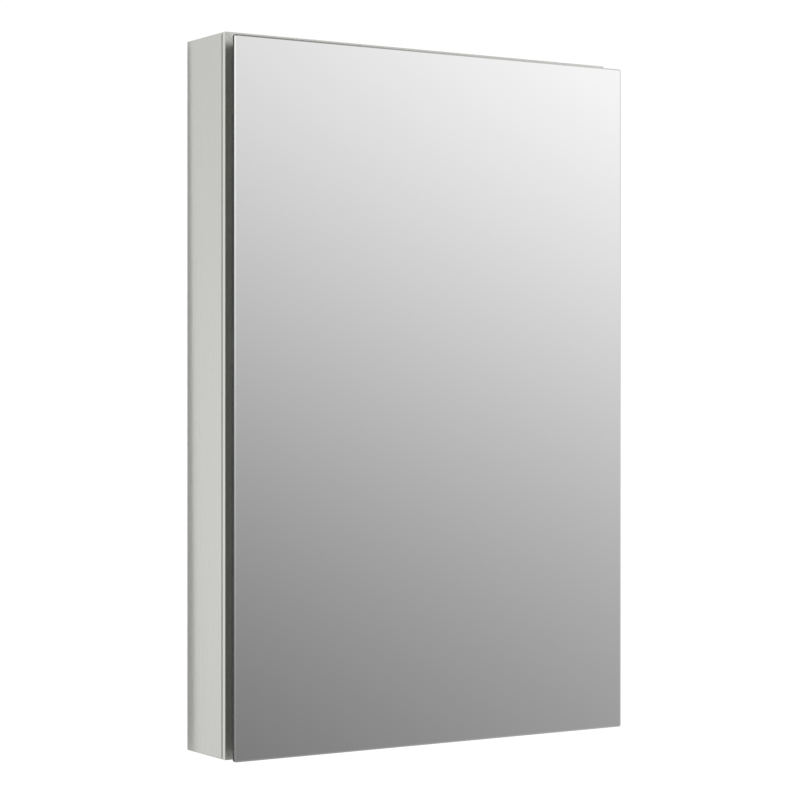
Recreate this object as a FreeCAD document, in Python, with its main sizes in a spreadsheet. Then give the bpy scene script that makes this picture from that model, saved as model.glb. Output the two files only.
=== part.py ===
import FreeCAD, Part
import math
import os
import Sketcher

# Wall-hung medicine cabinet with one mirrored door.
# Axes: +X right, +Z up, the door faces -Y. The origin is the centre of the wall (rear) face of the
# case, so y = 0 is the wall and every piece of the cabinet has a negative y. Millimetres.

os.makedirs("parts", exist_ok=True)
doc = FreeCAD.newDocument("medicine_cabinet")

SIZES = [
    # case
    ("case_w", 500.0),
    ("case_ht", 770.0),
    ("case_d", 89.0),
    ("wall", 2.0),           # extruded wall of the case
    ("flange", 12.0),        # how far the front flange stands out past the box
    ("lip_d", 6.2),          # depth of the flange with its turned-back lip
    ("lip_t", 2.0),
    ("rear_flange", 10.0),   # inward flange the back panel is riveted to
    ("rear_t", 1.5),
    ("back_t", 1.5),
    ("seam", 1.8),           # shadow gap between the lip and the trim panel
    ("trim_t", 2.0),
    ("trim_web", 1.5),
    ("trim_off", 2.0),       # the trim stands this far off the wall
    ("tongue_in", 3.0),      # how far the tongue of the trim lies below the outer face
    ("tongue_t", 1.5),
    ("tongue_l", 3.0),
    ("play", 0.3),
    ("edge_break", 0.4),
    # wall fixings, on 16 in stud centres
    ("stud_x", 406.4),
    ("stud_z", 609.6),
    ("stud_r", 3.25),
    # rivets, brackets and trim spacers
    ("rivet_r", 1.6),
    ("rivet_head_r", 3.0),
    ("rivet_head_t", 1.0),
    ("rivet_hole_r", 1.65),
    ("side_rivet_far", 250.0),   # heights of the rivets up the side flanges, either way
    ("side_rivet_near", 90.0),
    ("end_rivet_far", 150.0),    # and their places along the end flanges
    ("bracket_leg", 30.0),
    ("bracket_t", 1.5),
    ("bracket_y0", 15.0),
    ("bracket_y1", 75.0),
    ("bracket_rivet_y0", 30.0),
    ("bracket_rivet_y1", 60.0),
    ("bracket_rivet_off", 20.0), # in from the corner of the box
    ("spacer_y", 34.0),
    ("spacer_half", 8.0),
    ("spacer_z", 240.0),
    ("spacer_x", 150.0),
    ("screw_r", 1.9),
    ("screw_hole_r", 2.0),
    ("screw_head_r", 3.5),
    ("screw_head_t", 2.0),
    ("screw_short", 1.0),        # the trim screws stop this far below the face of the trim
    # shelves
    ("shelf_w", 468.6),
    ("shelf_y0", 6.0),
    ("shelf_d", 76.0),
    ("shelf_t", 5.0),
    ("shelf_corner", 3.0),
    ("peg_r", 2.5),
    ("peg_hole_r", 2.6),
    ("peg_l", 9.0),
    ("peg_collar_r", 4.0),
    ("peg_collar_t", 1.2),
    ("peg_row_rear", 18.0),
    ("peg_row_front", 50.0),
    ("peg_half_span", 256.0),
    ("shelf_z_low", -192.0),
    ("shelf_z_mid", -64.0),
    ("shelf_z_high", 96.0),
    # door
    ("overall_d", 117.5),
    ("glass_w", 508.0),
    ("glass_ht", 762.0),
    ("glass_t", 4.0),
    ("bevel_w", 1.6),            # polished bevel: its width on the face of the glass
    ("bevel_d", 0.6),            # and how far it runs back down the edge
    ("glass_corner", 2.5),
    ("door_drop", 2.5),      # the door hangs this much below the centre of the case
    ("tape_t", 1.0),
    ("tape_set", 2.0),       # outer edge of the tape, in from the face of the frame
    ("tape_w", 14.0),
    ("frame_w", 20.0),
    ("frame_inset_x", 14.0), # side edge of the glass to the outer face of the frame
    ("frame_inset_z", 6.0),  # the same at the top and bottom edges
    ("frame_t", 1.5),
    ("door_gap", 3.0),       # rear of the door frame to the front of the case
    ("ledge_d", 3.5),        # rebate that takes the inner mirror
    ("ledge_w", 5.0),
    ("leaf_floor", 105.0),   # web inside the frame that the hinge leaves are screwed to
    ("inner_glass_t", 3.0),
    ("inner_corner", 1.0),
    ("inner_tape_set", 0.5),
    ("inner_tape_w", 4.0),
    ("cross_w", 30.0),
    ("key_out", 2.1),        # corner keys: outer and inner faces, and the ends of their legs
    ("key_in", 11.1),
    ("key_end", 38.0),
    # hinges
    ("hinge_z", 300.0),
    ("pivot_x", 243.0),
    ("pivot_y", 99.0),
    ("pin_r", 2.0),
    ("pin_play", 0.05),
    ("barrel_r", 3.75),
    ("pin_head_over", 1.2),
    ("pin_head_t", 1.5),
    ("arm_t", 2.5),
    ("arm_half", 8.0),
    ("arm_past", 2.2),       # front face of the arm, in front of the pivot
    ("plate_half", 20.0),
    ("plate_y0", 60.0),
    ("plate_y1", 86.0),
    ("crank_y", 84.0),
    ("plate_screw_y", 73.0),
    ("plate_screw_z", 13.0),
    ("plate_screw_past", 3.0),
    ("plug_t", 1.0),
    ("leaf_t", 1.5),
    ("leaf_w", 12.2),
    ("leaf_past", 0.5),      # outer edge of the leaf, beyond the pivot
    ("leaf_screw_r", 1.5),
    ("leaf_hole_r", 1.55),
    ("leaf_head_r", 2.6),
    ("leaf_head_t", 1.3),
    ("leaf_screw_in", 8.0),
    ("leaf_screw_z", 14.0),
    ("leaf_screw_past", 1.5),
    ("ear_w", 2.5),
    ("knuckle_end", 18.0),
    ("knuckle_clear", 6.0),
    ("notch_half", 21.0),
    ("notch_w", 9.2),
    # catch and bumpers
    ("catch_half", 22.0),
    ("catch_z", 50.0),
    ("catch_w", 12.0),
    ("catch_y", 68.0),
    ("catch_screw_y", 78.0),
    ("catch_screw_z", 14.0),
    ("catch_screw_past", 2.0),
    ("strike_t", 1.0),
    ("strike_set", 1.5),
    ("strike_w", 12.0),
    ("strike_half", 18.0),
    ("bumper_r", 2.0),
    ("bumper_x", 238.2),
    ("bumper_z", 340.0),
]

dims = doc.addObject("Spreadsheet::Sheet", "dims")
for row, (alias, value) in enumerate(SIZES, start=1):
    dims.set("A%d" % row, alias)
    dims.set("B%d" % row, repr(value))
    dims.setAlias("B%d" % row, alias)
doc.recompute()

nodes = []


# --- building blocks ------------------------------------------------------------------------------

def new_body(label, several=False):
    """An empty body; several says that it holds a group of separate solids."""
    body = doc.addObject("PartDesign::Body", label)
    body.Label = label
    body.AllowCompound = several
    nodes.append(body)
    return body


def origin_plane(body, role):
    return [item for item in body.Origin.OriginFeatures if item.Role == role][0]


def pin_point(sketch, geometry, point, at, guess):
    """Hold one point of a sketch at a pair of expressions measured from the sketch origin."""
    for kind, expression, value in zip(("DistanceX", "DistanceY"), at, guess):
        index = sketch.addConstraint(Sketcher.Constraint(kind, -1, 1, geometry, point, value))
        sketch.setExpression("Constraints[%d]" % index, expression)


def add_loop(sketch, corners):
    """A closed polygon whose corners are pairs of expressions. It starts as a regular polygon and
    the constraints draw each corner to its place."""
    count = len(corners)
    first = sketch.GeometryCount
    turns = [2.0 * math.pi * index / count for index in range(count)]
    start = [FreeCAD.Vector(50.0 * math.cos(turn), 50.0 * math.sin(turn), 0.0) for turn in turns]
    for index in range(count):
        sketch.addGeometry(Part.LineSegment(start[index], start[(index + 1) % count]), False)
    for index in range(count):
        after = first + (index + 1) % count
        sketch.addConstraint(Sketcher.Constraint("Coincident", first + index, 2, after, 1))
    for index, corner in enumerate(corners):
        pin_point(sketch, first + index, 1, corner, (start[index].x, start[index].y))


def add_circle(sketch, centre, radius):
    index = sketch.GeometryCount
    seed = FreeCAD.Vector(10.0, 10.0, 0.0)
    sketch.addGeometry(Part.Circle(seed, FreeCAD.Vector(0, 0, 1), 1.0), False)
    pin_point(sketch, index, 3, centre, (10.0, 10.0))
    constraint = sketch.addConstraint(Sketcher.Constraint("Radius", index, 1.0))
    sketch.setExpression("Constraints[%d]" % constraint, radius)


def add_sketch(body, name, role, loops=(), circles=(), level=None):
    """A sketch on an origin plane, moved along the plane's normal by level. On XZ_Plane the normal
    is -Y, so level is the distance in front of the wall; on YZ_Plane it is x, on XY_Plane z."""
    sketch = body.newObject("Sketcher::SketchObject", name)
    sketch.AttachmentSupport = (origin_plane(body, role), [""])
    sketch.MapMode = "FlatFace"
    if level is not None:
        sketch.setExpression("AttachmentOffset.Base.z", level)
    for loop in loops:
        add_loop(sketch, loop)
    for centre, radius in circles:
        add_circle(sketch, centre, radius)
    return sketch


def add_pad(body, sketch, length, midplane=False):
    pad = body.newObject("PartDesign::Pad", sketch.Name + "_pad")
    pad.Profile = sketch
    pad.Midplane = midplane
    pad.setExpression("Length", length)
    sketch.Visibility = False
    body.Tip = pad
    return pad


def add_pocket(body, sketch, length, midplane=False):
    """Cuts against the sketch normal, or both ways when midplane is set."""
    pocket = body.newObject("PartDesign::Pocket", sketch.Name + "_pocket")
    pocket.Profile = sketch
    pocket.Midplane = midplane
    pocket.setExpression("Length", length)
    sketch.Visibility = False
    body.Tip = pocket
    return pocket


def rectangle(x0, x1, y0, y1):
    return [(x0, y0), (x1, y0), (x1, y1), (x0, y1)]


def minus(expression):
    return "-(%s)" % expression


def signed(sign, expression):
    return expression if sign > 0 else minus(expression)


def grid(columns, rows):
    return [(column, row) for column in columns for row in rows]


def both(expression):
    return [minus(expression), expression]


# --- mitred frame members -------------------------------------------------------------------------

SIDES = {"left": ("x", -1), "right": ("x", 1), "top": ("z", 1), "bottom": ("z", -1)}


def member(label, side, loops, half_w, half_z, reach):
    """One side of a rectangular frame, mitred at both ends. The section is given as (a, y): a is
    the distance inwards from the outer face of the frame, half_w and half_z are the distances of
    those outer faces from the centre, reach is the widest a of the section."""
    axis, sign = SIDES[side]
    body = new_body(label)
    out, along = (half_w, half_z) if axis == "x" else (half_z, half_w)
    place = []
    for loop in loops:
        across = [(signed(sign, "(%s) - (%s)" % (out, a)), y) for a, y in loop]
        place.append(across if axis == "x" else [(y, n) for n, y in across])
    section = add_sketch(body, label + "_section", "XY_Plane" if axis == "x" else "YZ_Plane", place)
    add_pad(body, section, "2 * (%s)" % along, midplane=True)
    cuts = []
    near = "(%s) + 1" % along
    far = "(%s) - (%s) - 1" % (along, reach)
    outer = signed(sign, "(%s) + 1" % out)
    inner = signed(sign, "(%s) - (%s) - 1" % (out, reach))
    for end in (1, -1):
        cut = [(outer, signed(end, near)), (inner, signed(end, far)), (inner, signed(end, near))]
        cuts.append(cut if axis == "x" else [(t, n) for n, t in cut])
    mitre = add_sketch(body, label + "_mitre", "XZ_Plane", cuts)
    add_pocket(body, mitre, "4 * dims.overall_d", midplane=True)
    return body


HALF_W = "dims.case_w / 2"
HALF_Z = "dims.case_ht / 2"
BOX_X = "(dims.case_w / 2 - dims.flange)"
BOX_Z = "(dims.case_ht / 2 - dims.flange)"
IN_X = "(dims.case_w / 2 - dims.flange - dims.wall)"
IN_Z = "(dims.case_ht / 2 - dims.flange - dims.wall)"
BACK = "-dims.back_t"
REAR = "-(dims.back_t + dims.rear_t)"
FRONT = "-dims.case_d"
PEG_ROWS = [minus("dims.peg_row_rear"), minus("dims.peg_row_front")]
PEG_STEPS = 17

wall_section = [
    ("0", FRONT),
    ("0", "-(dims.case_d - dims.lip_d)"),
    ("dims.lip_t", "-(dims.case_d - dims.lip_d)"),
    ("dims.lip_t", "-(dims.case_d - dims.wall)"),
    ("dims.flange", "-(dims.case_d - dims.wall)"),
    ("dims.flange", BACK),
    ("dims.flange + dims.wall + dims.rear_flange", BACK),
    ("dims.flange + dims.wall + dims.rear_flange", REAR),
    ("dims.flange + dims.wall", REAR),
    ("dims.flange + dims.wall", FRONT),
]
wall_reach = "dims.flange + dims.wall + dims.rear_flange"

# Positions shared by the pieces and by the holes they pass through
HINGE_ZS = [minus("dims.hinge_z"), "0", "dims.hinge_z"]
PLATE_HOLES = [("-dims.plate_screw_y", off) for off in both("dims.plate_screw_z")]
HINGE_SCREWS = [(y, "(%s) + (%s)" % (z, off)) for z in HINGE_ZS for y, off in PLATE_HOLES]
CATCH_SCREWS = [("-dims.catch_screw_y", "dims.catch_z + (%s)" % off)
                for off in both("dims.catch_screw_z")]
SIDE_SPACERS = [(minus("dims.spacer_y"), z) for z in ("-dims.spacer_z", "0", "dims.spacer_z")]
TOP_SPACERS = [(x, minus("dims.spacer_y")) for x in both("dims.spacer_x")]
BRACKET_YS = ["-dims.bracket_rivet_y1", "-dims.bracket_rivet_y0"]
BRACKET_X = "(%s - dims.bracket_rivet_off)" % BOX_X
BRACKET_Z = "(%s - dims.bracket_rivet_off)" % BOX_Z
BRACKET_SIDE = grid(BRACKET_YS, both(BRACKET_Z))
BRACKET_TOP = grid(both(BRACKET_X), BRACKET_YS)
FLANGE_X = "(%s - dims.rear_flange / 2)" % IN_X
FLANGE_Z = "(%s - dims.rear_flange / 2)" % IN_Z
RIVETS_SIDE = grid(both(FLANGE_X), both("dims.side_rivet_far") + both("dims.side_rivet_near"))
RIVETS_ENDS = grid(both("dims.end_rivet_far") + ["0"], both(FLANGE_Z))
THROUGH = "4 * dims.wall"    # long enough to pass through any one sheet


def drill(body, name, role, circles, level, length):
    sketch = add_sketch(body, name, role, circles=circles, level=level)
    return add_pocket(body, sketch, length, midplane=True)


def rounds(centres, radius):
    return [(centre, radius) for centre in centres]


for side in ("left", "right", "top", "bottom"):
    name = "wall_" + side
    axis, sign = SIDES[side]
    wall = member(name, side, [wall_section], HALF_W, HALF_Z, wall_reach)
    if axis == "x":
        plane, level = "YZ_Plane", signed(sign, BOX_X)
        screws = SIDE_SPACERS + HINGE_SCREWS
        if side == "left":
            screws = screws + CATCH_SCREWS
        rivet_at = BRACKET_SIDE
        pegs = add_sketch(
            wall, name + "_peg_holes", plane,
            circles=rounds([(y, "-dims.peg_half_span") for y in PEG_ROWS], "dims.peg_hole_r"),
            level=level,
        )
        bored = add_pocket(wall, pegs, THROUGH, midplane=True)
        rows = wall.newObject("PartDesign::LinearPattern", name + "_peg_rows")
        rows.Originals = [bored]
        rows.Direction = (pegs, ["V_Axis"])
        rows.setExpression("Length", "2 * dims.peg_half_span")
        rows.Occurrences = PEG_STEPS
        wall.Tip = rows
    else:
        plane, level = "XY_Plane", signed(sign, BOX_Z)
        screws = TOP_SPACERS
        rivet_at = BRACKET_TOP
    drill(wall, name + "_screw_holes", plane, rounds(screws, "dims.screw_hole_r"), level, THROUGH)
    drill(wall, name + "_rivet_holes", plane, rounds(rivet_at, "dims.rivet_hole_r"), level,
          THROUGH)
    if axis == "x":
        at_rear = [p for p in RIVETS_SIDE if (p[0] == FLANGE_X) == (sign > 0)]
    else:
        at_rear = [p for p in RIVETS_ENDS if (p[1] == FLANGE_Z) == (sign > 0)]
    drill(wall, name + "_back_rivet_holes", "XZ_Plane", rounds(at_rear, "dims.rivet_hole_r"),
          "dims.back_t", THROUGH)

# Trim panels: they clothe the sides of the box when the cabinet is hung on the face of the wall
TRIM_FRONT = "-(dims.case_d - dims.lip_d - dims.seam)"
trim_section = [
    ("0", TRIM_FRONT),
    ("0", "-dims.trim_off"),
    ("dims.flange - dims.play", "-dims.trim_off"),
    ("dims.flange - dims.play", "-(dims.trim_off + dims.rear_t)"),
    ("dims.trim_t", "-(dims.trim_off + dims.rear_t)"),
    ("dims.trim_t", "%s + dims.trim_web" % TRIM_FRONT),
    ("dims.tongue_in + dims.tongue_t", "%s + dims.trim_web" % TRIM_FRONT),
    ("dims.tongue_in + dims.tongue_t", "%s - dims.tongue_l" % TRIM_FRONT),
    ("dims.tongue_in", "%s - dims.tongue_l" % TRIM_FRONT),
    ("dims.tongue_in", TRIM_FRONT),
]
for side in ("left", "right", "top", "bottom"):
    member("trim_" + side, side, [trim_section], HALF_W, HALF_Z, "dims.flange")

# --- back panel and its rivets --------------------------------------------------------------------

back = new_body("back_panel")
outline = rectangle(minus(BOX_X), BOX_X, minus(BOX_Z), BOX_Z)
add_pad(back, add_sketch(back, "back_outline", "XZ_Plane", [outline]), "dims.back_t")
studs = grid(both("dims.stud_x / 2"), both("dims.stud_z / 2"))
drill(back, "back_stud_holes", "XZ_Plane", rounds(studs, "dims.stud_r"), None, THROUGH)
drill(back, "back_rivet_holes", "XZ_Plane",
      rounds(RIVETS_SIDE + RIVETS_ENDS, "dims.rivet_hole_r"), None, THROUGH)


def pegs_of(body, name, role, centres, radius, level, length):
    """A row of equal cylinders standing on one plane."""
    sketch = add_sketch(body, name, role, circles=rounds(centres, radius), level=level)
    return add_pad(body, sketch, length)


rivets = new_body("back_rivets", several=True)
pegs_of(rivets, "rivet_heads", "XZ_Plane", RIVETS_SIDE + RIVETS_ENDS, "dims.rivet_head_r",
        "dims.back_t + dims.rear_t", "dims.rivet_head_t")
pegs_of(rivets, "rivet_shanks", "XZ_Plane", RIVETS_SIDE + RIVETS_ENDS, "dims.rivet_r",
        None, "dims.back_t + dims.rear_t")

# --- corner brackets ------------------------------------------------------------------------------

for name, sx, sz in (("top_left", -1, 1), ("top_right", 1, 1),
                     ("bottom_left", -1, -1), ("bottom_right", 1, -1)):
    bracket = new_body("bracket_" + name)
    x_in, z_in = signed(sx, BOX_X), signed(sz, BOX_Z)
    x_out = signed(sx, "(%s + dims.bracket_t)" % BOX_X)
    z_out = signed(sz, "(%s + dims.bracket_t)" % BOX_Z)
    x_end = signed(sx, "(%s - dims.bracket_leg)" % BOX_X)
    z_end = signed(sz, "(%s - dims.bracket_leg)" % BOX_Z)
    corner = [(x_in, z_in), (x_in, z_end), (x_out, z_end),
              (x_out, z_out), (x_end, z_out), (x_end, z_in)]
    angle = add_sketch(bracket, name + "_angle", "XZ_Plane", [corner], level="dims.bracket_y0")
    add_pad(bracket, angle, "dims.bracket_y1 - dims.bracket_y0")
    rivet_x, rivet_z = signed(sx, BRACKET_X), signed(sz, BRACKET_Z)
    drill(bracket, name + "_side_holes", "YZ_Plane",
          rounds([(y, rivet_z) for y in BRACKET_YS], "dims.rivet_hole_r"), x_in, THROUGH)
    drill(bracket, name + "_top_holes", "XY_Plane",
          rounds([(rivet_x, y) for y in BRACKET_YS], "dims.rivet_hole_r"), z_in, THROUGH)

bracket_rivets = new_body("bracket_rivets", several=True)
head = "dims.rivet_head_t"
for tag, role, centres, inner in (("side", "YZ_Plane", BRACKET_SIDE, IN_X),
                                  ("end", "XY_Plane", BRACKET_TOP, IN_Z)):
    grip = "dims.wall + dims.bracket_t"
    pegs_of(bracket_rivets, tag + "_heads_a", role, centres, "dims.rivet_head_r",
            "%s - %s" % (inner, head), head)
    pegs_of(bracket_rivets, tag + "_shanks_a", role, centres, "dims.rivet_r", inner, grip)
    pegs_of(bracket_rivets, tag + "_heads_b", role, centres, "dims.rivet_head_r",
            minus(inner), head)
    pegs_of(bracket_rivets, tag + "_shanks_b", role, centres, "dims.rivet_r",
            "-(%s + %s)" % (inner, grip), grip)

# --- trim spacers and their screws ----------------------------------------------------------------

spacers = new_body("trim_spacers", several=True)
trim_screws = new_body("trim_screws", several=True)
block = "dims.flange - dims.trim_t"
for tag, role, centres, box, inner in (
        ("side", "YZ_Plane", SIDE_SPACERS, BOX_X, IN_X),
        ("end", "XY_Plane", TOP_SPACERS, BOX_Z, IN_Z)):
    squares = []
    for u, v in centres:
        squares.append(rectangle("%s - dims.spacer_half" % u, "%s + dims.spacer_half" % u,
                                 "%s - dims.spacer_half" % v, "%s + dims.spacer_half" % v))
    for half, start in (("a", box), ("b", "-(%s + %s)" % (box, block))):
        blocks = add_sketch(spacers, "spacer_%s_%s" % (tag, half), role, squares,
                            rounds(centres, "dims.screw_hole_r"), level=start)
        add_pad(spacers, blocks, block)
    shank = "dims.wall + dims.flange - dims.trim_t - dims.screw_short"
    pegs_of(trim_screws, tag + "_heads_a", role, centres, "dims.screw_head_r",
            "%s - dims.screw_head_t" % inner, "dims.screw_head_t")
    pegs_of(trim_screws, tag + "_shanks_a", role, centres, "dims.screw_r", inner, shank)
    pegs_of(trim_screws, tag + "_heads_b", role, centres, "dims.screw_head_r",
            minus(inner), "dims.screw_head_t")
    pegs_of(trim_screws, tag + "_shanks_b", role, centres, "dims.screw_r",
            "-(%s + %s)" % (inner, shank), shank)

# --- shelves and shelf pegs -----------------------------------------------------------------------

SHELVES = (("shelf_lower", "dims.shelf_z_low"), ("shelf_middle", "dims.shelf_z_mid"),
           ("shelf_upper", "dims.shelf_z_high"))
for name, z in SHELVES:
    shelf = new_body(name)
    plate = rectangle("-dims.shelf_w / 2", "dims.shelf_w / 2",
                      "-(dims.shelf_y0 + dims.shelf_d)", "-dims.shelf_y0")
    pane = add_pad(shelf, add_sketch(shelf, name + "_outline", "XY_Plane", [plate]), "dims.shelf_t")
    doc.recompute()
    upright = ["Edge%d" % number for number, edge in enumerate(pane.Shape.Edges, start=1)
               if abs(edge.tangentAt(edge.FirstParameter).z) > 0.9]
    ease = shelf.newObject("PartDesign::Fillet", name + "_corners")
    ease.Base = (pane, upright)
    ease.setExpression("Radius", "dims.shelf_corner")
    shelf.Tip = ease
    shelf.setExpression("Placement.Base.z", "%s + dims.peg_r" % z)

shelf_pegs = new_body("shelf_pegs", several=True)
centres = [(y, z) for y in PEG_ROWS for _, z in SHELVES]
for half, sign in (("a", 1), ("b", -1)):
    parts_of_peg = (
        ("stem", "dims.peg_r", IN_X, "dims.wall"),
        ("collar", "dims.peg_collar_r", "%s - dims.peg_collar_t" % IN_X, "dims.peg_collar_t"),
        ("rest", "dims.peg_r", "%s - dims.peg_l" % IN_X, "dims.peg_l"),
    )
    for tag, radius, start, length in parts_of_peg:
        level = start if sign > 0 else "-((%s) + (%s))" % (start, length)
        pegs_of(shelf_pegs, "%s_%s" % (tag, half), "YZ_Plane", centres, radius, level, length)

# --- door: mirror, tapes, frame -------------------------------------------------------------------

DOOR_X = "(dims.glass_w / 2 - dims.frame_inset_x)"
DOOR_Z = "(dims.glass_ht / 2 - dims.frame_inset_z)"
FRAME_FRONT = "(dims.overall_d - dims.glass_t - dims.tape_t)"
FRAME_REAR = "(dims.case_d + dims.door_gap)"
LEDGE = "(dims.case_d + dims.door_gap + dims.ledge_d)"


def hang(body):
    """Door pieces are drawn about the centre of the door, which sits below that of the case."""
    body.setExpression("Placement.Base.z", "-dims.door_drop")


def pane_body(label, half_x, half_z, level, thickness, corner, bevel_w, bevel_d, seen):
    """A sheet of glass with rounded corners. The rim of the face that is seen, the front one when
    seen is -1 and the rear one when it is 1, has a bevel bevel_w wide and bevel_d deep."""
    body = new_body(label)
    sheet = rectangle(minus(half_x), half_x, minus(half_z), half_z)
    pane = add_pad(body, add_sketch(body, label + "_outline", "XZ_Plane", [sheet], level=level),
                   thickness)
    doc.recompute()
    through = ["Edge%d" % number for number, edge in enumerate(pane.Shape.Edges, start=1)
               if abs(edge.tangentAt(edge.FirstParameter).y) > 0.9]
    rounded = body.newObject("PartDesign::Fillet", label + "_corners")
    rounded.Base = (pane, through)
    rounded.setExpression("Radius", corner)
    body.Tip = rounded
    doc.recompute()
    box = rounded.Shape.BoundBox
    face_y = box.YMin if seen < 0 else box.YMax
    rims = ["Edge%d" % number for number, edge in enumerate(rounded.Shape.Edges, start=1)
            if max(abs(edge.BoundBox.YMin - face_y), abs(edge.BoundBox.YMax - face_y)) < 1e-6]
    bevel = body.newObject("PartDesign::Chamfer", label + "_bevel")
    bevel.Base = (rounded, rims)
    bevel.ChamferType = "Two distances"
    bevel.setExpression("Size", bevel_d)
    bevel.setExpression("Size2", bevel_w)
    body.Tip = bevel
    return body


def ring_body(label, out_x, out_z, in_x, in_z, level, thickness):
    """A flat rectangular ring, as a run of tape is."""
    body = new_body(label)
    loops = [rectangle(minus(out_x), out_x, minus(out_z), out_z),
             rectangle(minus(in_x), in_x, minus(in_z), in_z)]
    add_pad(body, add_sketch(body, label + "_ring", "XZ_Plane", loops, level=level), thickness)
    return body


front_mirror = pane_body("front_mirror", "dims.glass_w / 2", "dims.glass_ht / 2",
                         "dims.overall_d - dims.glass_t", "dims.glass_t",
                         "dims.glass_corner", "dims.bevel_w", "dims.bevel_d", seen=-1)
hang(front_mirror)
TAPE_X = "%s - dims.tape_set" % DOOR_X
TAPE_Z = "%s - dims.tape_set" % DOOR_Z
mirror_tape = ring_body("front_mirror_tape", TAPE_X, TAPE_Z, TAPE_X + " - dims.tape_w",
                        TAPE_Z + " - dims.tape_w", FRAME_FRONT, "dims.tape_t")
hang(mirror_tape)

FRAME_T = "dims.frame_t"
FAR_T = "dims.frame_w - dims.frame_t"
frame_outside = [
    ("0", minus(FRAME_FRONT)),
    ("0", minus(FRAME_REAR)),
    ("dims.frame_w - dims.ledge_w", minus(FRAME_REAR)),
    ("dims.frame_w - dims.ledge_w", minus(LEDGE)),
    ("dims.frame_w", minus(LEDGE)),
    ("dims.frame_w", minus(FRAME_FRONT)),
]
rear_chamber = [
    (FRAME_T, "-dims.leaf_floor"),
    (FRAME_T, "-(%s + dims.frame_t)" % FRAME_REAR),
    ("dims.frame_w - dims.ledge_w - dims.frame_t", "-(%s + dims.frame_t)" % FRAME_REAR),
    ("dims.frame_w - dims.ledge_w - dims.frame_t", "-(%s + dims.frame_t)" % LEDGE),
    (FAR_T, "-(%s + dims.frame_t)" % LEDGE),
    (FAR_T, "-dims.leaf_floor"),
]
front_chamber = [
    (FRAME_T, "-(%s - dims.frame_t)" % FRAME_FRONT),
    (FRAME_T, "-(dims.leaf_floor + dims.frame_t)"),
    (FAR_T, "-(dims.leaf_floor + dims.frame_t)"),
    (FAR_T, "-(%s - dims.frame_t)" % FRAME_FRONT),
]
LEAF_HOLES = [("(dims.pivot_x - dims.leaf_screw_in)", off) for off in both("dims.leaf_screw_z")]
LEAF_SCREWS = [(x, "(%s) + (%s)" % (z, off)) for z in HINGE_ZS for x, off in LEAF_HOLES]
for side, name in (("left", "door_stile_free"), ("right", "door_stile_hinged"),
                   ("top", "door_rail_top"), ("bottom", "door_rail_bottom")):
    piece = member(name, side, [frame_outside, rear_chamber, front_chamber],
                   DOOR_X, DOOR_Z, "dims.frame_w")
    if name == "door_stile_hinged":
        notches = []
        for z in HINGE_ZS:
            middle = "(%s) + dims.door_drop" % z
            notches.append(rectangle("%s - dims.notch_w" % DOOR_X, "%s + 2" % DOOR_X,
                                     "%s - dims.notch_half" % middle,
                                     "%s + dims.notch_half" % middle))
        cut = add_sketch(piece, "hinge_notches", "XZ_Plane", notches, level="dims.leaf_floor")
        add_pocket(piece, cut, "dims.leaf_floor - dims.case_d")
        centres = [(x, "%s + dims.door_drop" % z) for x, z in LEAF_SCREWS]
        drill(piece, "leaf_screw_holes", "XZ_Plane", rounds(centres, "dims.leaf_hole_r"),
              "dims.leaf_floor", "2 * dims.frame_t + 1")
    hang(piece)

cross = new_body("door_cross_rail")
CROSS_X = "(%s - dims.frame_w)" % DOOR_X
cross_out = rectangle(minus(FRAME_FRONT), minus(LEDGE), "-dims.cross_w / 2", "dims.cross_w / 2")
cross_in = rectangle("-(%s - dims.frame_t)" % FRAME_FRONT, "-(%s + dims.frame_t)" % LEDGE,
                     "-(dims.cross_w / 2 - dims.frame_t)", "dims.cross_w / 2 - dims.frame_t")
tube = add_sketch(cross, "cross_section", "YZ_Plane", [cross_out, cross_in])
add_pad(cross, tube, "2 * %s" % CROSS_X, midplane=True)
hang(cross)

keys = new_body("door_corner_keys", several=True)
key_loops = []
for sx in (-1, 1):
    for sz in (-1, 1):
        x_out, x_in, x_end = [signed(sx, "%s - dims.%s" % (DOOR_X, face))
                              for face in ("key_out", "key_in", "key_end")]
        z_out, z_in, z_end = [signed(sz, "%s - dims.%s" % (DOOR_Z, face))
                              for face in ("key_out", "key_in", "key_end")]
        key_loops.append([(x_out, z_out), (x_end, z_out), (x_end, z_in),
                          (x_in, z_in), (x_in, z_end), (x_out, z_end)])
key_sketch = add_sketch(keys, "key_outlines", "XZ_Plane", key_loops,
                        level="%s + dims.frame_t" % FRAME_REAR)
add_pad(keys, key_sketch, "dims.leaf_floor - %s - dims.frame_t" % FRAME_REAR)
hang(keys)

INNER_X = "(%s - dims.frame_w + dims.ledge_w - dims.play)" % DOOR_X
INNER_Z = "(%s - dims.frame_w + dims.ledge_w - dims.play)" % DOOR_Z
inner_mirror = pane_body("inner_mirror", INNER_X, INNER_Z, FRAME_REAR, "dims.inner_glass_t",
                         "dims.inner_corner", "dims.edge_break", "dims.edge_break", seen=1)
hang(inner_mirror)
INNER_TAPE_X = "%s - dims.inner_tape_set" % INNER_X
INNER_TAPE_Z = "%s - dims.inner_tape_set" % INNER_Z
inner_tape = ring_body("inner_mirror_tape", INNER_TAPE_X, INNER_TAPE_Z,
                       INNER_TAPE_X + " - dims.inner_tape_w", INNER_TAPE_Z + " - dims.inner_tape_w",
                       "%s + dims.inner_glass_t" % FRAME_REAR, "dims.ledge_d - dims.inner_glass_t")
hang(inner_tape)

# --- hinges ---------------------------------------------------------------------------------------

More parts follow.
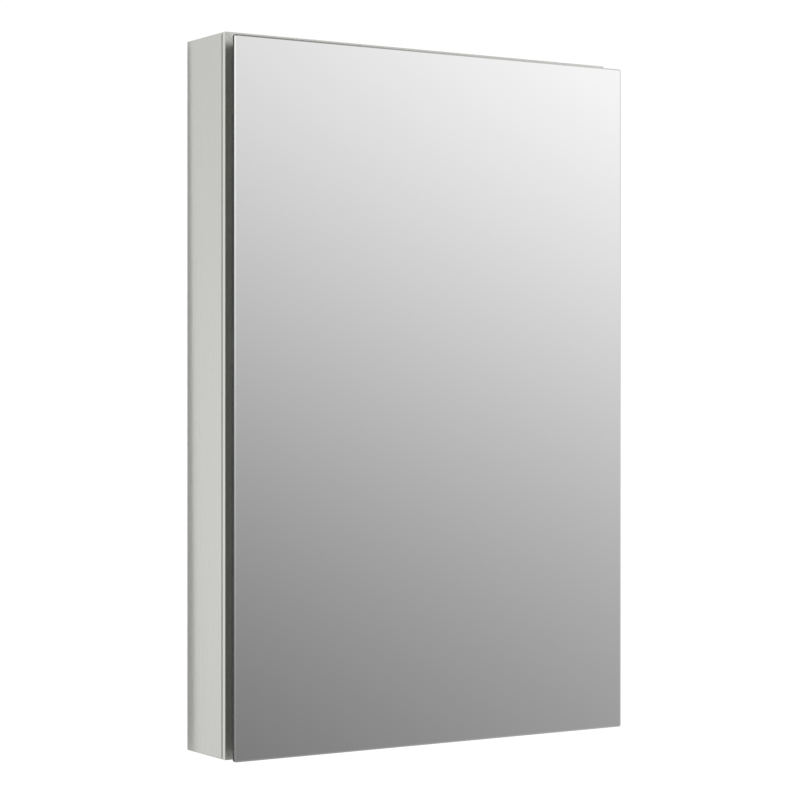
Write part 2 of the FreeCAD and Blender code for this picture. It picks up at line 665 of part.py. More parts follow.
PIVOT = ("dims.pivot_x", "-dims.pivot_y")
ARM_FRONT = "-(dims.pivot_y + dims.arm_past)"
ARM_REAR = "-(dims.pivot_y + dims.arm_past - dims.arm_t)"
PLATE_X = "(%s - dims.arm_t)" % IN_X
LEAF_REAR = "-(dims.leaf_floor - dims.leaf_t)"
LEAF_X0 = "dims.pivot_x + dims.leaf_past - dims.leaf_w"
LEAF_X1 = "dims.pivot_x + dims.leaf_past"

for name, height in (("lower", minus("dims.hinge_z")), ("middle", "0"),
                     ("upper", "dims.hinge_z")):
    # cranked plate screwed to the inside of the case, ending in the middle knuckle
    plate = new_body("hinge_plate_" + name)
    pad_rect = rectangle(PLATE_X, IN_X, "-dims.plate_y1", "-dims.plate_y0")
    add_pad(plate, add_sketch(plate, name + "_plate", "XY_Plane", [pad_rect]),
            "2 * dims.plate_half", midplane=True)
    crank = [(IN_X, "-dims.crank_y"), (PLATE_X, "-dims.crank_y"), (PLATE_X, ARM_FRONT),
             ("dims.pivot_x", ARM_FRONT), ("dims.pivot_x", ARM_REAR), (IN_X, ARM_REAR)]
    add_pad(plate, add_sketch(plate, name + "_crank", "XY_Plane", [crank]),
            "2 * dims.arm_half", midplane=True)
    barrel = add_sketch(plate, name + "_barrel", "XY_Plane", circles=[(PIVOT, "dims.barrel_r")])
    add_pad(plate, barrel, "2 * dims.arm_half", midplane=True)
    drill(plate, name + "_bore", "XY_Plane", [(PIVOT, "dims.pin_r")], None, "4 * dims.plate_half")
    drill(plate, name + "_screw_holes", "YZ_Plane", rounds(PLATE_HOLES, "dims.screw_hole_r"),
          IN_X, "4 * dims.arm_t")
    plate.setExpression("Placement.Base.z", height)

    # leaf screwed to the web inside the notch of the stile, with the two outer knuckles
    leaf = new_body("hinge_leaf_" + name)
    leaf_rect = rectangle(LEAF_X0, LEAF_X1, "-dims.leaf_floor", LEAF_REAR)
    add_pad(leaf, add_sketch(leaf, name + "_leaf", "XY_Plane", [leaf_rect]),
            "2 * dims.plate_half", midplane=True)
    ear = rectangle("dims.pivot_x - dims.ear_w", LEAF_X1, LEAF_REAR, "-dims.pivot_y")
    add_pad(leaf, add_sketch(leaf, name + "_ear", "XY_Plane", [ear]),
            "2 * dims.knuckle_end", midplane=True)
    knuckles = add_sketch(leaf, name + "_knuckles", "XY_Plane", circles=[(PIVOT, "dims.barrel_r")])
    add_pad(leaf, knuckles, "2 * dims.knuckle_end", midplane=True)
    gap = rectangle("dims.pivot_x - dims.knuckle_clear", "dims.pivot_x + dims.knuckle_clear",
                    "-(dims.arm_half + dims.play)", "dims.arm_half + dims.play")
    clear = add_sketch(leaf, name + "_gap", "XZ_Plane", [gap], level="dims.leaf_floor - dims.leaf_t")
    add_pocket(leaf, clear, "2 * dims.knuckle_clear")
    drill(leaf, name + "_leaf_bore", "XY_Plane", [(PIVOT, "dims.pin_r + dims.pin_play")], None,
          "4 * dims.plate_half")
    drill(leaf, name + "_leaf_holes", "XZ_Plane", rounds(LEAF_HOLES, "dims.leaf_hole_r"),
          "dims.leaf_floor", "4 * dims.leaf_t")
    leaf.setExpression("Placement.Base.z", height)

    pin = new_body("hinge_pin_" + name)
    pegs_of(pin, name + "_shank", "XY_Plane", [PIVOT], "dims.pin_r",
            "-(dims.knuckle_end + 1)", "2 * dims.knuckle_end + 1 + dims.play")
    pegs_of(pin, name + "_head", "XY_Plane", [PIVOT], "dims.pin_r + dims.pin_head_over",
            "dims.knuckle_end + dims.play", "dims.pin_head_t")
    pin.setExpression("Placement.Base.z", height)

plate_screws = new_body("hinge_plate_screws", several=True)
pegs_of(plate_screws, "plate_heads", "YZ_Plane", HINGE_SCREWS, "dims.screw_head_r",
        "%s - dims.screw_head_t" % PLATE_X, "dims.screw_head_t")
pegs_of(plate_screws, "plate_shanks", "YZ_Plane", HINGE_SCREWS, "dims.screw_r",
        PLATE_X, "dims.arm_t + dims.wall + dims.plate_screw_past")

leaf_screws = new_body("hinge_leaf_screws", several=True)
pegs_of(leaf_screws, "leaf_shanks", "XZ_Plane", LEAF_SCREWS, "dims.leaf_screw_r",
        "dims.leaf_floor - dims.leaf_t", "dims.leaf_t + dims.frame_t + dims.leaf_screw_past")
pegs_of(leaf_screws, "leaf_heads", "XZ_Plane", LEAF_SCREWS, "dims.leaf_head_r",
        "dims.leaf_floor - dims.leaf_t - dims.leaf_head_t", "dims.leaf_head_t")

# plugs close the hinge holes of the other hand
plugs = new_body("hinge_hole_plugs", several=True)
pegs_of(plugs, "plug_heads", "YZ_Plane", HINGE_SCREWS, "dims.screw_head_r",
        minus(IN_X), "dims.plug_t")
pegs_of(plugs, "plug_stems", "YZ_Plane", HINGE_SCREWS, "dims.screw_r",
        "-(%s + dims.wall + dims.plug_t)" % IN_X, "dims.wall + dims.plug_t")

# --- magnetic catch and bumpers -------------------------------------------------------------------

CATCH_FRONT = "(%s - dims.strike_t - dims.play)" % FRAME_REAR
catch = new_body("catch_magnet")
catch_rect = rectangle(minus(IN_X), "-(%s - dims.catch_w)" % IN_X, "-%s" % CATCH_FRONT,
                       "-dims.catch_y")
catch_block = add_sketch(catch, "catch_block", "XY_Plane", [catch_rect],
                         level="dims.catch_z - dims.catch_half")
add_pad(catch, catch_block, "2 * dims.catch_half")
drill(catch, "catch_holes", "YZ_Plane", rounds(CATCH_SCREWS, "dims.screw_hole_r"),
      minus(IN_X), "4 * dims.catch_w")

catch_screws = new_body("catch_screws", several=True)
pegs_of(catch_screws, "catch_shanks", "YZ_Plane", CATCH_SCREWS, "dims.screw_r",
        "-(%s + dims.wall + dims.catch_screw_past)" % IN_X,
        "dims.wall + dims.catch_screw_past + dims.catch_w")
pegs_of(catch_screws, "catch_heads", "YZ_Plane", CATCH_SCREWS, "dims.screw_head_r",
        "-(%s - dims.catch_w)" % IN_X, "dims.screw_head_t")

strike = new_body("catch_strike")
STRIKE_X = "(%s - dims.strike_set)" % DOOR_X
strike_rect = rectangle(minus(STRIKE_X), "-(%s - dims.strike_w)" % STRIKE_X,
                        "dims.catch_z - dims.strike_half", "dims.catch_z + dims.strike_half")
add_pad(strike, add_sketch(strike, "strike_plate", "XZ_Plane", [strike_rect],
                           level="%s - dims.strike_t" % FRAME_REAR), "dims.strike_t")

bumpers = new_body("bumpers", several=True)
pegs_of(bumpers, "bumper_discs", "XZ_Plane",
        [("-dims.bumper_x", z) for z in both("dims.bumper_z")], "dims.bumper_r",
        "dims.case_d", "dims.door_gap - dims.play")

# --- check and write ------------------------------------------------------------------------------

doc.recompute()
for item in doc.Objects:
    if "Invalid" in item.State or "Error" in item.State:
        raise RuntimeError("%s did not compute" % item.Name)

for body in nodes:
    shape = body.Shape
    if shape.isNull() or not shape.isValid() or not shape.Solids:
        raise RuntimeError("%s has no valid shape" % body.Label)
    body.Shape.exportStep(os.path.join("parts", body.Label + ".step"))
    box = shape.BoundBox
    print("%-22s solids %2d  vol %10.1f  x %7.1f..%7.1f  y %7.1f..%6.1f  z %7.1f..%7.1f" % (
        body.Label, len(shape.Solids), shape.Volume,
        box.XMin, box.XMax, box.YMin, box.YMax, box.ZMin, box.ZMax))
print(len(nodes), "nodes")
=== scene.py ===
import math

import bpy
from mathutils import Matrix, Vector


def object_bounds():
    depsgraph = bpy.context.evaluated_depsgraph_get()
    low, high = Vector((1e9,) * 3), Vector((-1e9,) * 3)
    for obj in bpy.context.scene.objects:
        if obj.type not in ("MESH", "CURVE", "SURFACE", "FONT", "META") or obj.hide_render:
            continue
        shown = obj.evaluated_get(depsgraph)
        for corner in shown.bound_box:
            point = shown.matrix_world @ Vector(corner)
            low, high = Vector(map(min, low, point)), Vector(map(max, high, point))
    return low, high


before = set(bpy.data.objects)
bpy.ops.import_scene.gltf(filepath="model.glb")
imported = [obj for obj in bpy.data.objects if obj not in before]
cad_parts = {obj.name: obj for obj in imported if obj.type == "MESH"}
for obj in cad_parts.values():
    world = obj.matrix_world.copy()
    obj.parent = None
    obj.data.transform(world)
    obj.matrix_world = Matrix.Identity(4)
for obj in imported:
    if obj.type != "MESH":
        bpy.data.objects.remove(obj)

CAD_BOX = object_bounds()
MM = 0.001
SILVER = 0.93        # how much of the light a silvered face returns
WHITE = (1.0, 1.0, 1.0, 1.0)


# --- node helpers ---------------------------------------------------------------------------------

def new_material(name):
    material = bpy.data.materials.new(name)
    material.use_nodes = True
    tree = material.node_tree
    tree.nodes.clear()
    output = tree.nodes.new("ShaderNodeOutputMaterial")
    return material, tree, output


def principled(tree, colour, metallic, roughness, **more):
    shader = tree.nodes.new("ShaderNodeBsdfPrincipled")
    shader.inputs["Base Color"].default_value = (*colour, 1.0)
    shader.inputs["Metallic"].default_value = metallic
    shader.inputs["Roughness"].default_value = roughness
    for socket, value in more.items():
        shader.inputs[socket.replace("_", " ")].default_value = value
    return shader


def math_node(tree, operation, a, b=None, clamp=False):
    node = tree.nodes.new("ShaderNodeMath")
    node.operation = operation
    node.use_clamp = clamp
    for socket, value in zip(node.inputs, (a, b)):
        if value is None:
            continue
        if isinstance(value, (int, float)):
            socket.default_value = value
        else:
            tree.links.new(value, socket)
    return node.outputs[0]


def object_coordinates(tree, scale):
    coordinates = tree.nodes.new("ShaderNodeTexCoord")
    mapping = tree.nodes.new("ShaderNodeMapping")
    mapping.inputs["Scale"].default_value = scale
    tree.links.new(coordinates.outputs["Object"], mapping.inputs["Vector"])
    return mapping.outputs["Vector"]


def noise(tree, scale, detail=3.0, roughness=0.55):
    """A noise whose scale is given per axis, in features per metre."""
    node = tree.nodes.new("ShaderNodeTexNoise")
    node.inputs["Scale"].default_value = 1.0
    node.inputs["Detail"].default_value = detail
    node.inputs["Roughness"].default_value = roughness
    tree.links.new(object_coordinates(tree, scale), node.inputs["Vector"])
    return node.outputs["Fac"]


def spread(tree, source, low, high, start=0.3, end=0.7):
    """The source between start and end, mapped on to low to high."""
    node = tree.nodes.new("ShaderNodeMapRange")
    node.inputs["From Min"].default_value = start
    node.inputs["From Max"].default_value = end
    node.inputs["To Min"].default_value = low
    node.inputs["To Max"].default_value = high
    tree.links.new(source, node.inputs["Value"])
    return node.outputs["Result"]


def tinted(tree, source, dark, light, start=0.3, end=0.7):
    """A colour between dark and light, by a source between start and end."""
    ramp = tree.nodes.new("ShaderNodeValToRGB")
    ramp.color_ramp.elements[0].position = start
    ramp.color_ramp.elements[0].color = (*dark, 1.0)
    ramp.color_ramp.elements[1].position = end
    ramp.color_ramp.elements[1].color = (*light, 1.0)
    tree.links.new(source, ramp.inputs["Fac"])
    return ramp.outputs["Color"]


def bump(tree, source, distance, strength=1.0):
    node = tree.nodes.new("ShaderNodeBump")
    node.inputs["Strength"].default_value = strength
    node.inputs["Distance"].default_value = distance
    tree.links.new(source, node.inputs["Height"])
    return node.outputs["Normal"]


# --- materials ------------------------------------------------------------------------------------

# Fineness of the patterns, in features per metre along x, y and z
ALONG_Z = (900.0, 900.0, 9.0)
ALONG_X = (9.0, 900.0, 900.0)
CLOUD = (7.0, 7.0, 4.0)
PLATING = (300.0, 300.0, 300.0)
RIVET_GRAIN = (900.0, 900.0, 900.0)


def shaded(colour, factor):
    return tuple(min(1.0, channel * factor) for channel in colour)


def shifted(colour, step):
    return tuple(channel + step for channel in colour)


def anodised(name, colour, roughness, grain, shade=0.05, depth=0.02 * MM, vary=0.05):
    """Satin anodised aluminium: a fine drawn grain along one axis and a slight cloudiness. shade
    and vary are how far the colour and the roughness stray, depth is the depth of the grain."""
    material, tree, output = new_material(name)
    shader = principled(tree, colour, metallic=1.0, roughness=roughness)
    fine = noise(tree, grain, 4.0, 0.6)
    cloud = noise(tree, CLOUD, 2.0, 0.5)
    mixed = math_node(tree, "ADD", math_node(tree, "MULTIPLY", fine, 0.5),
                      math_node(tree, "MULTIPLY", cloud, 0.5))
    tree.links.new(tinted(tree, mixed, shaded(colour, 1.0 - shade), shaded(colour, 1.0 + shade)),
                   shader.inputs["Base Color"])
    tree.links.new(spread(tree, fine, roughness - vary, roughness + vary),
                   shader.inputs["Roughness"])
    tree.links.new(bump(tree, fine, depth, 0.35), shader.inputs["Normal"])
    tree.links.new(shader.outputs[0], output.inputs["Surface"])
    return material


def facing(tree, axis, low, high):
    """1 where the surface's own normal along an axis is above high, 0 below low."""
    coordinates = tree.nodes.new("ShaderNodeTexCoord")
    split = tree.nodes.new("ShaderNodeSeparateXYZ")
    tree.links.new(coordinates.outputs["Normal"], split.inputs[0])
    return spread(tree, split.outputs[axis], 0.0, 1.0, low, high)


def mix_shaders(tree, factor, first, second):
    node = tree.nodes.new("ShaderNodeMixShader")
    tree.links.new(factor, node.inputs[0])
    tree.links.new(first, node.inputs[1])
    tree.links.new(second, node.inputs[2])
    return node.outputs[0]


BEVEL_SILVER = (0.86, 0.87, 0.85)
# the edges' near-black colours are painted shade, as dark as the shaded gap beside them
EDGE_SHADE = (0.02, 0.026, 0.024)
EDGE_SHADE_DARK, EDGE_SHADE_LIGHT = (0.016, 0.021, 0.019), (0.026, 0.034, 0.031)
BACKING = (0.125, 0.126, 0.112)


def mirror_glass(name, front_sign):
    """Silvered glass: mirror on the face that is seen, a duller bevel round it, ground glass on the
    edges painted near-black as painted shade, and grey backing paint on the other face. front_sign
    is the sign of the mirror face's normal along y."""
    material, tree, output = new_material(name)
    silver = principled(tree, (SILVER, SILVER, SILVER), metallic=1.0, roughness=0.015)
    haze = noise(tree, (3.0, 3.0, 3.0), 2.0)
    tree.links.new(spread(tree, haze, 0.008, 0.022), silver.inputs["Roughness"])
    bevel = principled(tree, BEVEL_SILVER, metallic=1.0, roughness=0.12)
    wave = noise(tree, (60.0, 60.0, 60.0), 3.0)
    tree.links.new(tinted(tree, wave, shifted(BEVEL_SILVER, -0.03), shifted(BEVEL_SILVER, 0.03)),
                   bevel.inputs["Base Color"])
    # the ground edges, painted near-black as painted shade
    edge = principled(tree, EDGE_SHADE, metallic=0.0, roughness=0.3, Specular_IOR_Level=0.25)
    grind = noise(tree, (700.0, 700.0, 700.0), 3.0)
    tree.links.new(tinted(tree, grind, EDGE_SHADE_DARK, EDGE_SHADE_LIGHT), edge.inputs["Base Color"])
    tree.links.new(spread(tree, grind, 0.24, 0.38), edge.inputs["Roughness"])
    paint = principled(tree, BACKING, metallic=0.0, roughness=0.6)
    speck = noise(tree, (500.0, 500.0, 500.0), 2.0)
    tree.links.new(tinted(tree, speck, shifted(BACKING, -0.01), shifted(BACKING, 0.01)),
                   paint.inputs["Base Color"])
    toward = facing(tree, "Y", 0.97 * front_sign, 0.99 * front_sign)
    inclined = facing(tree, "Y", 0.3 * front_sign, 0.5 * front_sign)
    away = facing(tree, "Y", -0.85 * front_sign, -0.95 * front_sign)
    surface = mix_shaders(tree, inclined, edge.outputs[0], bevel.outputs[0])
    surface = mix_shaders(tree, toward, surface, silver.outputs[0])
    surface = mix_shaders(tree, away, surface, paint.outputs[0])
    tree.links.new(surface, output.inputs["Surface"])
    return material


def steel(name, colour, roughness, grain=(2500.0, 2500.0, 60.0)):
    """Plated steel or bare rivet metal; grain is in features per metre along each axis."""
    material, tree, output = new_material(name)
    shader = principled(tree, colour, metallic=1.0, roughness=roughness)
    fine = noise(tree, grain, 4.0, 0.6)
    tree.links.new(tinted(tree, fine, shaded(colour, 0.9), colour), shader.inputs["Base Color"])
    tree.links.new(spread(tree, fine, roughness - 0.07, roughness + 0.07),
                   shader.inputs["Roughness"])
    tree.links.new(bump(tree, fine, 0.01 * MM, 0.3), shader.inputs["Normal"])
    tree.links.new(shader.outputs[0], output.inputs["Surface"])
    return material


def moulded(name, colour, roughness, grain=1800.0, depth=0.04 * MM):
    """Plastic or rubber with a fine moulded texture."""
    material, tree, output = new_material(name)
    shader = principled(tree, colour, metallic=0.0, roughness=roughness)
    fine = noise(tree, (grain, grain, grain), 3.0, 0.6)
    tree.links.new(tinted(tree, fine, shaded(colour, 0.88), colour), shader.inputs["Base Color"])
    tree.links.new(spread(tree, fine, roughness - 0.06, roughness + 0.06),
                   shader.inputs["Roughness"])
    tree.links.new(bump(tree, fine, depth, 0.4), shader.inputs["Normal"])
    tree.links.new(shader.outputs[0], output.inputs["Surface"])
    return material


SHEET_GLASS = (0.96, 0.985, 0.97)
SHEET_EDGE = (0.42, 0.66, 0.56)


def clear_glass(name):
    """Clear tempered glass: green at its edges, where the light runs along the sheet."""
    material, tree, output = new_material(name)
    sheet = principled(tree, SHEET_GLASS, metallic=0.0, roughness=0.02,
                       Transmission_Weight=1.0, IOR=1.5)
    smear = noise(tree, (9.0, 9.0, 9.0), 3.0)
    tree.links.new(spread(tree, smear, 0.01, 0.05), sheet.inputs["Roughness"])
    edge = principled(tree, SHEET_EDGE, metallic=0.0, roughness=0.18,
                      Transmission_Weight=0.55, IOR=1.5)
    ripple = noise(tree, (120.0, 120.0, 120.0), 2.0)
    tree.links.new(tinted(tree, ripple, shifted(SHEET_EDGE, -0.06), shifted(SHEET_EDGE, 0.06)),
                   edge.inputs["Base Color"])
    up = facing(tree, "Z", 0.6, 0.9)
    down = facing(tree, "Z", -0.6, -0.9)
    flat = math_node(tree, "ADD", up, down, clamp=True)
    tree.links.new(mix_shaders(tree, flat, edge.outputs[0], sheet.outputs[0]),
                   output.inputs["Surface"])
    return material


CASE_COLOUR, CASE_ROUGHNESS = (0.865, 0.87, 0.832), 0.42
TRIM_COLOUR, TRIM_ROUGHNESS = (0.73, 0.735, 0.697), 0.28
DOOR_COLOUR, DOOR_ROUGHNESS = (0.33, 0.33, 0.31), 0.42
# The trim's grain is much fainter than the case's
TRIM_GRAIN = {"shade": 0.014, "depth": 0.003 * MM, "vary": 0.02}

case_upright = anodised("case_upright", CASE_COLOUR, CASE_ROUGHNESS, ALONG_Z)
case_level = anodised("case_level", CASE_COLOUR, CASE_ROUGHNESS, ALONG_X)
trim_upright = anodised("trim_upright", TRIM_COLOUR, TRIM_ROUGHNESS, ALONG_Z, **TRIM_GRAIN)
trim_level = anodised("trim_level", TRIM_COLOUR, TRIM_ROUGHNESS, ALONG_X, **TRIM_GRAIN)
door_upright = anodised("door_upright", DOOR_COLOUR, DOOR_ROUGHNESS, ALONG_Z)
door_level = anodised("door_level", DOOR_COLOUR, DOOR_ROUGHNESS, ALONG_X)
back_sheet = anodised("back_sheet", (0.68, 0.69, 0.67), 0.4, ALONG_Z)
zinc = steel("zinc_plate", (0.58, 0.59, 0.6), 0.4, PLATING)
nickel = steel("nickel_plate", (0.7, 0.69, 0.67), 0.24)
rivet_metal = steel("rivet_metal", (0.66, 0.67, 0.67), 0.35, RIVET_GRAIN)
grey_plastic = moulded("grey_plastic", (0.42, 0.43, 0.42), 0.5)
rubber = moulded("rubber", (0.03, 0.03, 0.03), 0.7)
tape = moulded("foam_tape", (0.05, 0.05, 0.05), 0.85, 900.0, 0.1 * MM)
shelf_glass = clear_glass("shelf_glass")
outer_mirror = mirror_glass("outer_mirror", -1.0)
inner_mirror = mirror_glass("inner_mirror", 1.0)

FINISHES = {
    "wall_left": case_upright, "wall_right": case_upright,
    "wall_top": case_level, "wall_bottom": case_level,
    "trim_left": trim_upright, "trim_right": trim_upright,
    "trim_top": trim_level, "trim_bottom": trim_level,
    "back_panel": back_sheet,
    "door_stile_free": door_upright, "door_stile_hinged": door_upright,
    "door_rail_top": door_level, "door_rail_bottom": door_level,
    "door_cross_rail": door_level,
    "front_mirror": outer_mirror, "inner_mirror": inner_mirror,
    "front_mirror_tape": tape, "inner_mirror_tape": tape,
    "back_rivets": rivet_metal, "bracket_rivets": rivet_metal,
    "trim_spacers": grey_plastic, "hinge_hole_plugs": grey_plastic,
    "door_corner_keys": grey_plastic, "catch_magnet": grey_plastic,
    "trim_screws": nickel, "hinge_plate_screws": nickel, "catch_screws": nickel,
    "hinge_leaf_screws": nickel, "shelf_pegs": nickel, "catch_strike": nickel,
    "bumpers": rubber,
}
FAMILIES = (("bracket_", zinc), ("shelf_", shelf_glass), ("hinge_", nickel))


def finish_of(node):
    if node in FINISHES:
        return FINISHES[node]
    return next(material for start, material in FAMILIES if node.startswith(start))


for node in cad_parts:
    item = bpy.data.objects[node]
    material = finish_of(node)
    if item.material_slots:
        for place in item.material_slots:
            place.link = "OBJECT"
            place.material = material
    else:
        item.data.materials.append(material)

# Every made edge is slightly rounded: extrusions and glass a little, screw and rivet heads into low
# domes. The tapes and the back sheet keep their cut edges, and the mirrors their own bevel.
EASED_MM = {
    "trim_screws": 0.7, "hinge_plate_screws": 0.7, "catch_screws": 0.7, "hinge_leaf_screws": 0.5,
    "back_rivets": 0.75, "bracket_rivets": 0.75, "trim_spacers": 0.4, "hinge_hole_plugs": 0.6,
    "shelf_pegs": 0.4, "catch_magnet": 0.8, "catch_strike": 0.2, "bumpers": 0.8,
    "door_corner_keys": 0.3,
}
EASED_FAMILIES_MM = (("wall_", 0.35), ("trim_", 0.6), ("door_", 0.35), ("shelf_", 0.6),
                     ("bracket_", 0.3), ("hinge_", 0.3))


def easing_of(node):
    """How far a node's edges are rounded, in millimetres, or None where they stay as made."""
    if node in EASED_MM:
        return EASED_MM[node]
    return next((width for start, width in EASED_FAMILIES_MM if node.startswith(start)), None)


JOIN_WITHIN = 0.01 * MM        # the tessellated faces are joined before their edges are eased
FINE_OVER_MM = 0.45            # wider roundings get one more segment, apart from the trim's
SHARP_OVER = math.radians(35)

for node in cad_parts:
    width = easing_of(node)
    if width is None:
        continue
    item = bpy.data.objects[node]
    join = item.modifiers.new("join", "WELD")
    join.merge_threshold = JOIN_WITHIN
    ease = item.modifiers.new("ease", "BEVEL")
    ease.width = width * MM
    ease.segments = 3 if width > FINE_OVER_MM and not node.startswith("trim_") else 2
    ease.limit_method = "ANGLE"
    ease.angle_limit = SHARP_OVER
    ease.harden_normals = True

# --- stage: floor, world, lights ------------------------------------------------------------------

FLOOR_DROP = 0.85          # metres from the cabinet's underside down to the floor
FLOOR_HALF = 9.0
FLOOR_GLOW = 0.12          # lifts the floor's shade towards the white of the paper
CASE_LEFT = min(vertex.co.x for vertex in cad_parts["trim_left"].data.vertices)
CARD_PAST = 15.0 * MM      # how far the card reaches past the cabinet's top and bottom
CARD_Y = 0.5 * MM
CARD_FOOT, CARD_HEAD = 10.8 * MM, 5.2 * MM      # the card's width at its foot and at its head


def staged_sheet(name, corners, material):
    mesh = bpy.data.meshes.new(name)
    mesh.from_pydata(corners, [], [(0, 1, 2, 3)])
    mesh.materials.append(material)
    sheet = bpy.data.objects.new(name, mesh)
    bpy.context.scene.collection.objects.link(sheet)
    return sheet


# The floor is clear from underneath, because it would hide the cabinet from a low camera.
floor_paint, floor_tree, floor_output = new_material("floor_paint")
floor_shader = principled(floor_tree, (0.95, 0.95, 0.95), metallic=0.0, roughness=0.9,
                          Emission_Color=WHITE, Emission_Strength=FLOOR_GLOW)
underneath = floor_tree.nodes.new("ShaderNodeNewGeometry").outputs["Backfacing"]
clear = floor_tree.nodes.new("ShaderNodeBsdfTransparent").outputs[0]
floor_tree.links.new(mix_shaders(floor_tree, underneath, floor_shader.outputs[0], clear),
                     floor_output.inputs["Surface"])
floor_level = CAD_BOX[0].z - FLOOR_DROP
floor = staged_sheet("floor", [
    (-FLOOR_HALF, -FLOOR_HALF, floor_level), (FLOOR_HALF, -FLOOR_HALF, floor_level),
    (FLOOR_HALF, FLOOR_HALF, floor_level), (-FLOOR_HALF, FLOOR_HALF, floor_level)], floor_paint)
floor.visible_glossy = False

# A grey upright card just behind the rear edge of the cabinet, put there only to be reflected. Only
# its blurred
# reflection in the side panel is seen: a painted shade that darkens a strip along the panel's rear
# edge.
shade_card_paint, card_tree, card_output = new_material("shade_card_paint")
# the card's grey sets how dark the painted shade along the side panel's rear edge is
card_shader = principled(card_tree, (0.54, 0.54, 0.54), metallic=0.0, roughness=0.9)
card_tree.links.new(card_shader.outputs[0], card_output.inputs["Surface"])
card_low, card_high = CAD_BOX[0].z - CARD_PAST, CAD_BOX[1].z + CARD_PAST
card = staged_sheet("rear_shade_card", [
    (CASE_LEFT, CARD_Y, card_low), (CASE_LEFT - CARD_FOOT, CARD_Y, card_low),
    (CASE_LEFT - CARD_HEAD, CARD_Y, card_high), (CASE_LEFT, CARD_Y, card_high)], shade_card_paint)
card.visible_camera = False
card.visible_diffuse = False
card.visible_shadow = False

# The studio that the mirror and the metal reflect. Its tones are display tones, 0 to 1, by the
# direction in which a ray leaves. Those in front were fitted to the tones of the photo's mirror,
# and those behind the cabinet were adjusted until its side panel matched. A name that ends in _AT
# holds the two parts of that direction between which a tone changes.
FRONT_TONE = 0.29                             # the base in front of the mirror
RISE, BEND, RISE_WITHIN = 1.467, 9.07, 0.2    # growing with height and levelling off
ACROSS, ACROSS_AT = 0.828, (0.42, 0.66)       # growing to the right
LEFT_LIFT = (0.09, 0.175)                     # added at the left, low and high
LEFT_X_AT, LEFT_Z_AT = (0.1, 0.4), (-0.13, 0.04)
SIDE_TONE, SIDE_AT = 0.82, (0.75, 0.9)        # far to the right
NEAR_FLOOR, NEAR_FLOOR_AT = 0.12, (-0.6, -0.4)
REAR_TONE = 0.85                              # behind the cabinet
CROWN, CROWN_MIDDLE, CROWN_HALF = 0.05, -0.045, 0.165
REAR_HIGH, REAR_HIGH_AT = 0.045, (0.13, 0.16)
REAR_LOW, REAR_LOW_AT = -0.25, (-0.45, -0.25)
TOP_TONES, TOP_AT = (0.46, 0.88), (0.46, 0.61)
BEHIND_AT = (-0.1, 0.1)
OVERHEAD_AT, REAR_TOP_AT = (0.3, 0.5), (0.3, 0.45)
SRGB_OFFSET, SRGB_POWER = 0.055, 2.4          # from a display tone to light
FILL = 1.2                                    # even light on everything that isn't shiny
PAPER = 1.02                                  # the white that the camera sees behind the cabinet

world = bpy.data.worlds.new("studio")
bpy.context.scene.world = world
world.use_nodes = True
sky = world.node_tree
sky.nodes.clear()
sky_out = sky.nodes.new("ShaderNodeOutputWorld")
direction = sky.nodes.new("ShaderNodeTexCoord")
parts = sky.nodes.new("ShaderNodeSeparateXYZ")
sky.links.new(direction.outputs["Generated"], parts.inputs[0])


def along(axis, tones, between):
    """From the first tone to the second, as a part of the direction goes between two values."""
    return spread(sky, parts.outputs[axis], *tones, *between)


def plus(a, b):
    return math_node(sky, "ADD", a, b)


def minus(a, b):
    return math_node(sky, "SUBTRACT", a, b)


def times(a, b):
    return math_node(sky, "MULTIPLY", a, b)


def blend_tones(factor, first, second):
    node = sky.nodes.new("ShaderNodeMix")
    for socket, source in zip((0, 2, 3), (factor, first, second)):
        sky.links.new(source, node.inputs[socket])
    return node.outputs[0]


def backdrop(strength):
    node = sky.nodes.new("ShaderNodeBackground")
    if isinstance(strength, float):
        node.inputs["Strength"].default_value = strength
    else:
        sky.links.new(strength, node.inputs["Strength"])
    return node


up_down = along("Z", (-RISE_WITHIN, RISE_WITHIN), (-RISE_WITHIN, RISE_WITHIN))
bend = times(math_node(sky, "POWER", math_node(sky, "ABSOLUTE", up_down), 3.0),
             math_node(sky, "SIGN", up_down))
rise = minus(times(up_down, RISE), times(bend, BEND))
across = along("X", (ACROSS_AT[0] * ACROSS, ACROSS_AT[1] * ACROSS), ACROSS_AT)
left_lift = times(along("X", (1.0, 0.0), LEFT_X_AT), along("Z", LEFT_LIFT, LEFT_Z_AT))
front_tone = plus(plus(rise, across), plus(left_lift, FRONT_TONE))
to_side = times(minus(SIDE_TONE, front_tone), along("X", (0.0, 1.0), SIDE_AT))
front_tone = plus(front_tone, to_side)
front_tone = plus(front_tone, along("Z", (NEAR_FLOOR, 0.0), NEAR_FLOOR_AT))

offset = math_node(sky, "DIVIDE", plus(up_down, -CROWN_MIDDLE), CROWN_HALF)
crown = minus(1.0, times(offset, offset))
rear_tone = plus(times(crown, CROWN), REAR_TONE)
rear_ends = plus(along("Z", (0.0, REAR_HIGH), REAR_HIGH_AT),
                 along("Z", (REAR_LOW, 0.0), REAR_LOW_AT))
rear_tone = plus(rear_tone, rear_ends)

behind = along("Y", (0.0, 1.0), BEHIND_AT)
overhead = along("Z", (0.0, 1.0), OVERHEAD_AT)
top_tone = along("X", TOP_TONES, TOP_AT)
rear_top = times(behind, along("Z", (0.0, 1.0), REAR_TOP_AT))
top_tone = plus(top_tone, times(rear_top, minus(REAR_TONE, top_tone)))

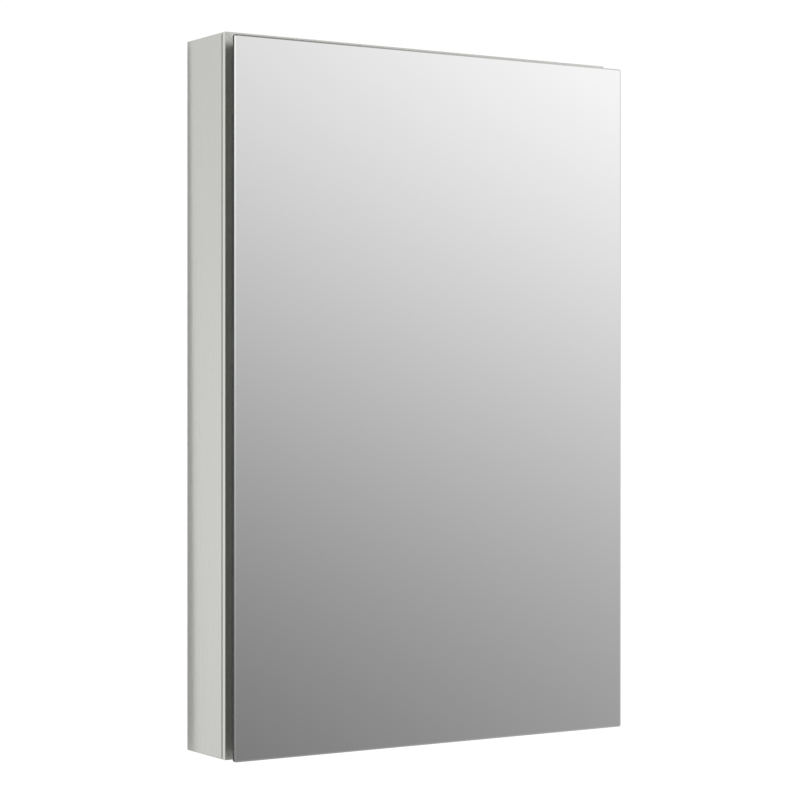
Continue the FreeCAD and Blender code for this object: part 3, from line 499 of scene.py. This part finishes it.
tone = blend_tones(overhead, blend_tones(behind, front_tone, rear_tone), top_tone)
decoded = math_node(sky, "DIVIDE", plus(tone, SRGB_OFFSET), 1.0 + SRGB_OFFSET)
studio = backdrop(times(math_node(sky, "POWER", decoded, SRGB_POWER), 1.0 / SILVER))
studio.inputs["Color"].default_value = WHITE
fill = backdrop(FILL)
paper = backdrop(PAPER)
paper.inputs["Color"].default_value = WHITE
ray = sky.nodes.new("ShaderNodeLightPath")
lit = mix_shaders(sky, ray.outputs["Is Diffuse Ray"], studio.outputs[0], fill.outputs[0])
sky.links.new(mix_shaders(sky, ray.outputs["Is Camera Ray"], lit, paper.outputs[0]),
              sky_out.inputs["Surface"])


def soft_light(name, place, aim, size, watts):
    """A soft rectangular lamp that the mirror and the metal don't reflect."""
    data = bpy.data.lights.new(name, "AREA")
    data.shape = "RECTANGLE"
    data.size, data.size_y = size
    data.energy = watts
    light = bpy.data.objects.new(name, data)
    light.location = place
    light.rotation_mode = "QUATERNION"
    light.rotation_quaternion = (Vector(aim) - Vector(place)).to_track_quat("-Z", "Y")
    bpy.context.scene.collection.objects.link(light)
    light.visible_glossy = False
    return light


LAMP_PLACE, LAMP_SIZE, LAMP_WATTS = (0.0, -1.0, 2.6), (3.0, 3.0), 60.0
soft_light("overhead", LAMP_PLACE, (0.0, 0.0, 0.0), LAMP_SIZE, LAMP_WATTS)

# --- camera ---------------------------------------------------------------------------------------

CAMERA_PLACE = (-1.4329, -2.3046, 0.0007)
CAMERA_HEADING = math.radians(32.316)
LENS, SENSOR = 106.7, 36.0
SHIFT_UP = -0.006
NEAR, FAR = 0.01, 60.0
camera_data = bpy.data.cameras.new("camera")
camera_data.lens = LENS
camera_data.sensor_width = SENSOR
camera_data.shift_y = SHIFT_UP
camera_data.clip_start, camera_data.clip_end = NEAR, FAR
camera = bpy.data.objects.new("camera", camera_data)
camera.location = CAMERA_PLACE
camera.rotation_euler = (math.pi / 2, 0.0, -CAMERA_HEADING)
bpy.context.scene.collection.objects.link(camera)
bpy.context.scene.camera = camera
bpy.context.scene.view_settings.view_transform = "Standard"
